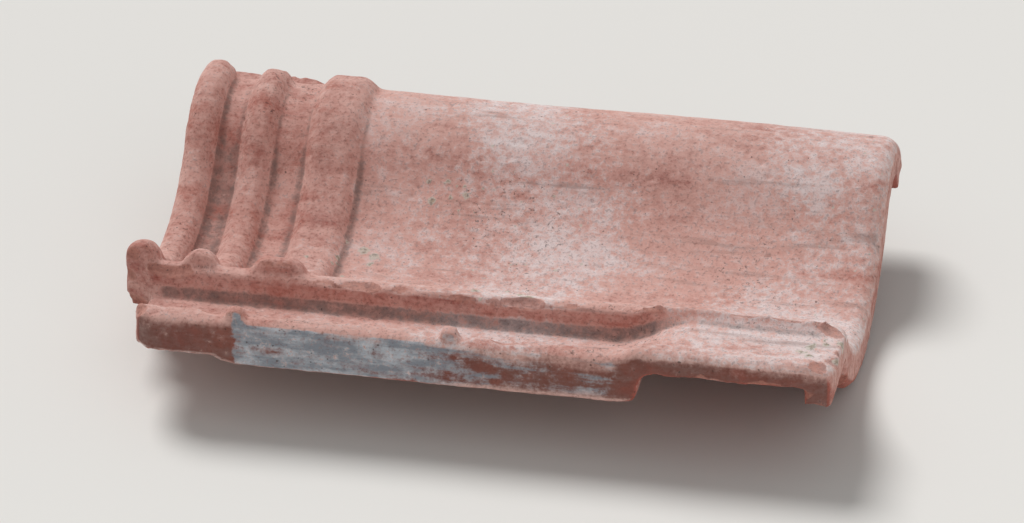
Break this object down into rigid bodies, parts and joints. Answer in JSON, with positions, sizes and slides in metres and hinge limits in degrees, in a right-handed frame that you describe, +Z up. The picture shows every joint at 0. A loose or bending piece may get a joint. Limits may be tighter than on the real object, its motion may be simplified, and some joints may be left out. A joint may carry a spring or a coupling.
{
  "type": "interlocking clay pantile",
  "caption": "S-shaped fired clay roof tile with a cover roll, side channel, head-lock ribs and hanging nib, for roofs hung on battens.",
  "frame": {"origin": "middle of the footprint, on the level floor that the tile's nib and tail lip rest on", "axes": "+X from the head to the tail, +Y from the channel edge to the cover roll, +Z up out of the weather face"},
  "size_m": [0.355, 0.25, 0.0815],
  "materials": {
    "fired_clay": "matte, weathered, grey lime film on the channel edge"
  },
  "bodies": {
    "root": {"roof_tile": "fired_clay"}
  },
  "joints": []
}
